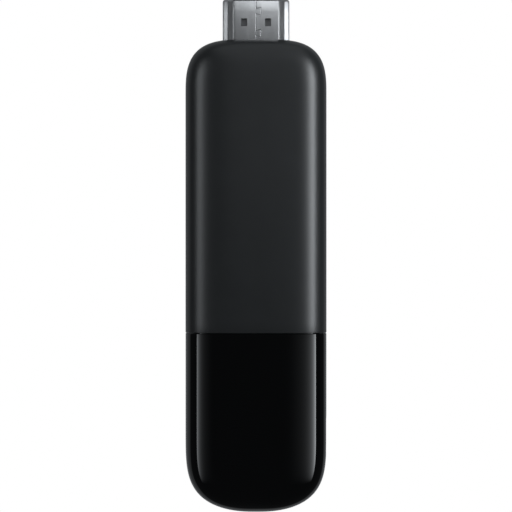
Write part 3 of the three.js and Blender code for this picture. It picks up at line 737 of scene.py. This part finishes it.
def chip(node, substrate=0.0):
    """A moulded package with a pin-1 dimple; a substrate is the laminate step of a ball-grid package."""
    low, high = box_mm(node)
    front = high[1] < 0
    board_side, top = (high[1], low[1]) if front else (low[1], high[1])
    up = -1 if front else 1
    corner, ledge, dimple_depth = 0.12, 0.35, 0.06
    rim = [(0, 0.08), (0.03, 0.02), (0.1, 0)]
    outline = rectangle(low[0], high[0], low[2], high[2], corner)
    inset = ledge if substrate else 0.0
    steps = [(0, 0)]
    if substrate:
        steps += [(0, substrate), (-inset, substrate)]
    height = abs(top - board_side)
    steps += [(-inset - pull, height - drop) for pull, drop in rim]
    body = prism(outline, [(margin, board_side + up * rise) for margin, rise in steps])
    dot_share, dot_spacing, nearly_round = 0.05, 2.4, 0.99
    radius = dot_share * (high[0] - low[0])
    from_edge = inset + dot_spacing * radius
    x, z = low[0] + from_edge, high[2] - from_edge
    dot = rectangle(x - radius, x + radius, z - radius, z + radius, radius * nearly_round, 8)
    dimple = prism(dot, [(0, y) for y in sorted((top - up * dimple_depth, top + up))])
    return add_piece(node + "_fine", cut(body, [dimple]), "chip", [node], 30)


def small_part(x, z, side, turned):
    """A ceramic chip part's body, and its two tinned ends."""
    half, width, height, end, bevel = 0.5, 0.26, 0.5, 0.22, 0.04
    solder, waist, dip = 0.02, 0.02, 0.03
    near = side * (BOARD_HIGH[1] + solder)

    def box(start, stop, half_width, rise):
        y = sorted((near, near + side * rise))
        along, across = (2, 0) if turned else (0, 2)
        low, high = [0, y[0], 0], [0, y[1], 0]
        low[along], high[along] = start, stop
        low[across], high[across] = -half_width, half_width
        shift = np.array([x, 0, z])
        return block(np.array(low) + shift, np.array(high) + shift, bevel)

    body = box(end - half, half - end, width - waist, height - dip)
    ends = [box(-half, end - half, width, height), box(half - end, half, width, height)]
    return body, ends


def small_parts(name, side, places):
    """The small ceramic parts on one side of the board, as one piece."""
    bodies, ends = [], []
    for x, z, turned in places:
        body, pair = small_part(x, z, side, turned)
        bodies.append(body)
        ends += pair
    mesh = merged([one_material(merged(bodies)), one_material(merged(ends))])
    add_piece(name, mesh, "chip", extra_materials=[MATERIALS["shield_tin"]])


def row_of(z, start, stop, step, turned):
    """The places of a row of small parts across the board."""
    return [(x, z, turned) for x in np.arange(start, stop + step / 2, step)]


def names_starting(*starts):
    """The CAD nodes whose names start in one of these ways."""
    return sorted(o.name for o in bpy.data.objects if o.name.startswith(starts) and "_fine" not in o.name)


def inner_parts():
    """Everything inside the housing."""
    laminate = 0.3
    for node in ("processor_chip", "memory_chip_left", "memory_chip_right", "flash_chip"):
        chip(node, laminate)
    for node in ("power_chip", "surge_guard_chip"):
        chip(node)
    small_parts("small_parts_front", -1, [
        *row_of(-48.2, -7.5, 7.5, 1.25, True),
        *row_of(-58.8, -6, 6, 1.5, False),
        *row_of(-60.6, -5.2, 5.2, 1.3, True),
        *row_of(-80.6, -6, 5, 1.1, True),
    ])
    small_parts("small_parts_rear", 1, [
        *row_of(-57.4, -6.4, 6.4, 1.6, True),
        *row_of(-66.0, -7, 7, 1.4, False),
        *row_of(-68.2, -6, 6, 1.2, True),
        *row_of(-78.5, -6, 3, 1.5, False),
    ])
    kinds = [
        ("carrier_plastic", 0.15, names_starting("carrier")),
        ("screw_steel", 0.06, names_starting("screw_")),
        ("contact_gold", 0.03, names_starting("hdmi_contact_", "micro_usb_contact_")),
        ("contact_gold", 0.05, names_starting("aerial_")),
        ("insulator_plastic", 0.05, ["micro_usb_insulator"]),
        ("board", 0.04, ["main_board", "radio_module_base"]),
        ("shield_tin", 0.1, names_starting("shield_can_", "radio_module_can", "crystal_")),
        ("thermal_pad", 0.15, names_starting("thermal_pad_")),
        ("aluminium", 0.12, names_starting("heat_spreader_")),
        ("ferrite", 0.25, names_starting("inductor_")),
    ]
    for slot, bevel, nodes in kinds:
        for node in nodes:
            softened(node, slot, bevel)


# ---------------------------------------------------------------- materials


class Finish:
    """A material under construction, with its nodes and its coordinates in metres."""

    MIDDLE = (0.3, 0.7)  # where most of a noise texture's values lie

    def __init__(self, name, colour, roughness, metallic=0.0):
        self.material = bpy.data.materials.new(name)
        self.material.use_nodes = True
        self.nodes = self.material.node_tree.nodes
        self.links = self.material.node_tree.links
        self.shader = self.nodes["Principled BSDF"]
        self.colour = colour
        self.roughness = roughness
        self.shader.inputs["Base Color"].default_value = (*colour, 1)
        self.shader.inputs["Roughness"].default_value = roughness
        self.shader.inputs["Metallic"].default_value = metallic
        coordinates = self.nodes.new("ShaderNodeTexCoord")
        self.place = coordinates.outputs["Object"]
        self.normal = coordinates.outputs["Normal"]

    def noise(self, scale, detail=3.0, stretch=(1, 1, 1)):
        mapping = self.nodes.new("ShaderNodeMapping")
        mapping.inputs["Scale"].default_value = stretch
        self.links.new(self.place, mapping.inputs["Vector"])
        noise = self.nodes.new("ShaderNodeTexNoise")
        noise.inputs["Scale"].default_value = scale
        noise.inputs["Detail"].default_value = detail
        self.links.new(mapping.outputs["Vector"], noise.inputs["Vector"])
        return noise.outputs["Fac"]

    def ramp(self, value, low, high, out_low, out_high):
        node = self.nodes.new("ShaderNodeMapRange")
        numbers = {"From Min": low, "From Max": high, "To Min": out_low, "To Max": out_high}
        for name, number in numbers.items():
            node.inputs[name].default_value = number
        self.links.new(value, node.inputs["Value"])
        return node.outputs["Result"]

    def mottle(self, value, spread):
        """Varies the colour's brightness by spread either way, following value."""
        dark = tuple(channel * (1 - spread) for channel in self.colour)
        light = tuple(channel * (1 + spread) for channel in self.colour)
        self.mix(self.ramp(value, *self.MIDDLE, 0, 1), dark, light)

    def mix(self, value, first, second):
        node = self.nodes.new("ShaderNodeMix")
        node.data_type = "RGBA"
        self.links.new(value, node.inputs["Factor"])
        for socket, colour in ((node.inputs[6], first), (node.inputs[7], second)):
            if isinstance(colour, tuple):
                socket.default_value = (*colour, 1)
            else:
                self.links.new(colour, socket)
        self.links.new(node.outputs[2], self.shader.inputs["Base Color"])
        return node.outputs[2]

    def vary_roughness(self, value, spread):
        result = self.ramp(value, *self.MIDDLE, self.roughness - spread, self.roughness + spread)
        self.links.new(result, self.shader.inputs["Roughness"])

    def bump(self, height, strength, distance):
        node = self.nodes.new("ShaderNodeBump")
        node.inputs["Strength"].default_value = strength
        node.inputs["Distance"].default_value = distance * MM
        self.links.new(height, node.inputs["Height"])
        self.links.new(node.outputs["Normal"], self.shader.inputs["Normal"])


def satin_black():
    """Moulded plastic with a fine etched grain."""
    finish = Finish("satin_black_plastic", (0.0192, 0.0206, 0.0216), 0.33)
    grain = finish.noise(4200)
    finish.bump(grain, 0.09, 0.03)
    finish.mottle(finish.noise(180, 2), 0.05)
    finish.shader.inputs["Specular IOR Level"].default_value = 0.55
    return finish.material


def gloss_black():
    """Polished plastic, a little uneven in colour and polish."""
    finish = Finish("gloss_black_plastic", (0.0011, 0.0014, 0.0018), 0.035)
    finish.vary_roughness(finish.noise(400, 2), 0.005)
    finish.mottle(finish.noise(90, 1), 0.2)
    return finish.material


def plug_steel():
    """Nickel-plated sheet with fine rolling lines down its length."""
    finish = Finish("nickel_plated_steel", (0.72, 0.72, 0.725), 0.34, 1)
    rolled = finish.noise(5200, 2, (1, 1, 0.08))
    finish.bump(rolled, 0.1, 0.01)
    finish.vary_roughness(finish.noise(1400, 3, (1, 1, 0.15)), 0.03)
    finish.mottle(finish.noise(700, 3), 0.04)
    return finish.material


def plain_plastic(name, colour, roughness, grain=3200, strength=0.2):
    finish = Finish(name, colour, roughness)
    finish.bump(finish.noise(grain), strength, 0.03)
    finish.mottle(finish.noise(300, 2), 0.12)
    return finish.material


def plain_metal(name, colour, roughness, stretch=(1, 1, 1), strength=0.15):
    finish = Finish(name, colour, roughness, 1)
    lines = finish.noise(3600, 3, stretch)
    finish.bump(lines, strength, 0.01)
    finish.vary_roughness(finish.noise(900, 3, stretch), 0.06)
    finish.mottle(finish.noise(420, 3), 0.06)
    return finish.material


def circuit_board():
    """Green solder mask over copper tracks, and bare laminate at the edges."""
    finish = Finish("circuit_board", (0.012, 0.07, 0.035), 0.32)
    brick = finish.nodes.new("ShaderNodeTexBrick")
    flat = finish.nodes.new("ShaderNodeMapping")
    flat.inputs["Rotation"].default_value = (math.pi / 2, 0, 0)
    finish.links.new(finish.place, flat.inputs["Vector"])
    finish.links.new(flat.outputs["Vector"], brick.inputs["Vector"])
    for name, value in (("Scale", 160), ("Mortar Size", 0.035), ("Brick Width", 0.9), ("Row Height", 0.12)):
        brick.inputs[name].default_value = value
    tracks = finish.mix(brick.outputs["Fac"], (0.010, 0.058, 0.029), (0.022, 0.115, 0.058))
    split = finish.nodes.new("ShaderNodeSeparateXYZ")
    finish.links.new(finish.normal, split.inputs["Vector"])
    facing = finish.nodes.new("ShaderNodeMath")
    facing.operation = "ABSOLUTE"
    finish.links.new(split.outputs["Y"], facing.inputs[0])
    is_face = finish.ramp(facing.outputs["Value"], 0.4, 0.6, 0, 1)
    finish.mix(is_face, (0.30, 0.27, 0.13), tracks)
    finish.bump(brick.outputs["Fac"], 0.35, 0.03)
    return finish.material


MATERIALS = {
    "satin_black": satin_black(),
    "gloss_black": gloss_black(),
    "plug_steel": plug_steel(),
    "board": circuit_board(),
    "carrier_plastic": plain_plastic("carrier_plastic", (0.024, 0.025, 0.027), 0.6),
    "insulator_plastic": plain_plastic("insulator_plastic", (0.26, 0.26, 0.265), 0.5),
    "chip": plain_plastic("chip_moulding", (0.013, 0.013, 0.015), 0.55, 5200, 0.35),
    "thermal_pad": plain_plastic("thermal_pad", (0.27, 0.36, 0.46), 0.85, 2400, 0.5),
    "ferrite": plain_plastic("ferrite", (0.045, 0.045, 0.05), 0.75, 5200, 0.6),
    "contact_gold": plain_metal("contact_gold", (0.83, 0.60, 0.24), 0.24),
    "shield_tin": plain_metal("tinned_sheet", (0.62, 0.62, 0.63), 0.33),
    "aluminium": plain_metal("rolled_aluminium", (0.60, 0.61, 0.63), 0.38, (1, 1, 0.04), 0.3),
    "screw_steel": plain_metal("screw_steel", (0.45, 0.45, 0.47), 0.35),
}


# ---------------------------------------------------------------- studio

COOL_WHITE = (0.92, 0.963, 1)


def lit_only(lamp, *pieces):
    """Keeps a light to some pieces, as flags and cards do in a studio."""
    receivers = bpy.data.collections.new(lamp.name + "_receivers")
    for piece in pieces:
        receivers.objects.link(piece)
    lamp.light_linking.receiver_collection = receivers


def softbox(name, azimuths, elevations, distance, radiance, fade, soft):
    """A flat softbox that the object sees between two azimuths and two elevations, in degrees.

    Azimuth 0 is in front, and it grows towards +X. The light falls off across its width, from
    radiance at the second azimuth to fade times that at the first. Its edges dim over a share
    of its width or height: soft gives that share for both sides as "X", for both ends as "Y",
    and for the side at the first azimuth alone as "inner".
    """
    a, e = [math.radians(sum(pair) / 2) for pair in (azimuths, elevations)]
    spread = [math.radians(abs(pair[1] - pair[0]) / 2) for pair in (azimuths, elevations)]
    towards = Vector((math.sin(a) * math.cos(e), -math.cos(a) * math.cos(e), math.sin(e)))
    light = bpy.data.lights.new(name, "AREA")
    light.shape = "RECTANGLE"
    light.size = 2 * distance * math.tan(spread[0])
    light.size_y = 2 * distance * math.tan(spread[1])
    light.energy = radiance * math.pi * light.size * light.size_y
    fading_emission(light, fade, azimuths[1] > azimuths[0], soft)
    return hung(light, (cad_low + cad_high) / 2 + towards * distance, towards)


def hung(light, place, away):
    """The lamp for a light at a place, with its back to the direction away; the camera doesn't see it."""
    light.color = COOL_WHITE
    lamp = bpy.data.objects.new(light.name, light)
    lamp.location = place
    lamp.rotation_mode = "QUATERNION"
    lamp.rotation_quaternion = away.to_track_quat("Z", "Y")
    lamp.visible_camera = False
    bpy.context.scene.collection.objects.link(lamp)
    return lamp


def fading_emission(light, fade, outer_at_one, soft):
    """Emission that falls exponentially from one side of the light to the other, with soft edges."""
    light.use_nodes = True
    nodes, links = light.node_tree.nodes, light.node_tree.links
    geometry = nodes.new("ShaderNodeNewGeometry")
    split = nodes.new("ShaderNodeSeparateXYZ")
    links.new(geometry.outputs["Parametric"], split.inputs["Vector"])

    def calculate(operation, first, second):
        node = nodes.new("ShaderNodeMath")
        node.operation = operation
        for socket, value in zip(node.inputs, (first, second)):
            if isinstance(value, (int, float)):
                socket.default_value = value
            else:
                links.new(value, socket)
        return node.outputs["Value"]

    across = split.outputs["X"]
    if outer_at_one:
        across = calculate("SUBTRACT", 1, across)
    strength = calculate("POWER", fade, across)
    for edge, share in soft.items():
        if edge == "inner":
            nearest = calculate("SUBTRACT", 1, across)
        else:
            other_edge = calculate("SUBTRACT", 1, split.outputs[edge])
            nearest = calculate("MINIMUM", split.outputs[edge], other_edge)
        ramp = nodes.new("ShaderNodeMapRange")
        ramp.interpolation_type = "SMOOTHSTEP"
        ramp.inputs["From Max"].default_value = share
        links.new(nearest, ramp.inputs["Value"])
        strength = calculate("MULTIPLY", strength, ramp.outputs["Result"])
    links.new(strength, nodes["Emission"].inputs["Strength"])


def near_light(name, place, aim, size, radiance):
    """A small square softbox at a place in millimetres, turned towards another."""
    light = bpy.data.lights.new(name, "AREA")
    light.size = size * MM
    light.energy = radiance * math.pi * light.size**2
    return hung(light, Vector(place) * MM, Vector(place) - Vector(aim))


def surroundings():
    """White where the camera looks past the object, and dim for everything else."""
    world = bpy.data.worlds.new("studio")
    bpy.context.scene.world = world
    world.use_nodes = True
    nodes, links = world.node_tree.nodes, world.node_tree.links
    nodes.clear()
    output = nodes.new("ShaderNodeOutputWorld")
    mix = nodes.new("ShaderNodeMixShader")
    seen = nodes.new("ShaderNodeBackground")
    seen.inputs["Color"].default_value = (1, 1, 1, 1)
    lit = nodes.new("ShaderNodeBackground")
    lit.inputs["Color"].default_value = (0.9, 0.95, 1, 1)
    lit.inputs["Strength"].default_value = 0.05
    path = nodes.new("ShaderNodeLightPath")
    links.new(path.outputs["Is Camera Ray"], mix.inputs["Fac"])
    links.new(lit.outputs["Background"], mix.inputs[1])
    links.new(seen.outputs["Background"], mix.inputs[2])
    links.new(mix.outputs["Shader"], output.inputs["Surface"])


def studio(sleeve_shell, plug, inlet, others):
    """Tall strips at both sides, a wall behind, and small lights for plug and inlet.

    The sleeve and the gloss parts have strips of their own, and the sleeve has two dim lights in front.
    """
    far = 0.7
    bpy.context.scene.view_settings.view_transform = "Standard"
    surroundings()
    tall, taller = (-20, 40), (-38, 32)
    lit_only(softbox("sleeve_right", (47.5, 64.5), tall, far, 15.0, 0.6, {"Y": 0.5}), sleeve_shell)
    lit_only(softbox("sleeve_left", (-46, -64.5), tall, far, 4.2, 0.6, {"Y": 0.5}), sleeve_shell)
    lit_only(softbox("strip_right", (8, 69.5), taller, far, 9.4, 0.0013, {"inner": 0.3, "Y": 0.5}), *others)
    lit_only(softbox("strip_left", (-24, -66.5), taller, far, 4.2, 0.0025, {"inner": 0.3, "Y": 0.5}), *others)
    softbox("wall_behind", (122, 258), (-62, 75), 0.5, 0.22, 1, {"X": 0.15, "Y": 0.15})
    lit_only(near_light("top_front", (30, -75, 140), (0, 0, -5), 220, 0.42), sleeve_shell)
    lit_only(near_light("front_card", (14, -150, 12), (6, 0, -15), 100, 0.27), sleeve_shell)
    lit_only(near_light("plug_light", (8, -34, 22), (2, -2, 6), 26, 1.3), *plug)
    lit_only(near_light("inlet_light", (60, -12, INLET_Z + 14), (14, 0, INLET_Z), 40, 2.5), *inlet)


def floor():
    """A plain pale floor far below, which the front view doesn't reach."""
    size, depth, glow = 2000, 650, 0.97
    points = [(-size, -size, -depth), (size, -size, -depth), (size, size, -depth), (-size, size, -depth)]
    plane = bpy.data.objects.new("floor", mesh_from(points, [(0, 1, 2, 3)]))
    bpy.context.scene.collection.objects.link(plane)
    finish = Finish("pale_floor", (0.8, 0.8, 0.8), 0.9)
    finish.mottle(finish.noise(4), 0.02)
    finish.shader.inputs["Emission Color"].default_value = (1, 1, 1, 1)
    finish.shader.inputs["Emission Strength"].default_value = glow
    plane.data.materials.append(finish.material)
    plane.visible_glossy = False
    plane.visible_diffuse = False


def camera():
    """A long lens in front of the stick, which stands almost the full height of the picture."""
    data = bpy.data.cameras.new("camera")
    data.lens = 200
    data.sensor_width = 36
    eye = bpy.data.objects.new("camera", data)
    bpy.context.scene.collection.objects.link(eye)
    seen_height, centre_z = 0.1068835, -0.04515
    distance = seen_height * data.lens / data.sensor_width
    eye.location = (0, -distance, centre_z)
    eye.rotation_euler = (math.pi / 2, 0, 0)
    bpy.context.scene.camera = eye


camera()
floor()
sleeve_shell = sleeve()
plug = [plug_shell(), plug_insulator()]
inlet = [inlet_shell()]
others = [end_cap(), *plug, *inlet]
inner_parts()
inlet += [o for o in bpy.data.objects if o.name.startswith("micro_usb_") and o.name.endswith("_fine")]
studio(sleeve_shell, plug, inlet, others)
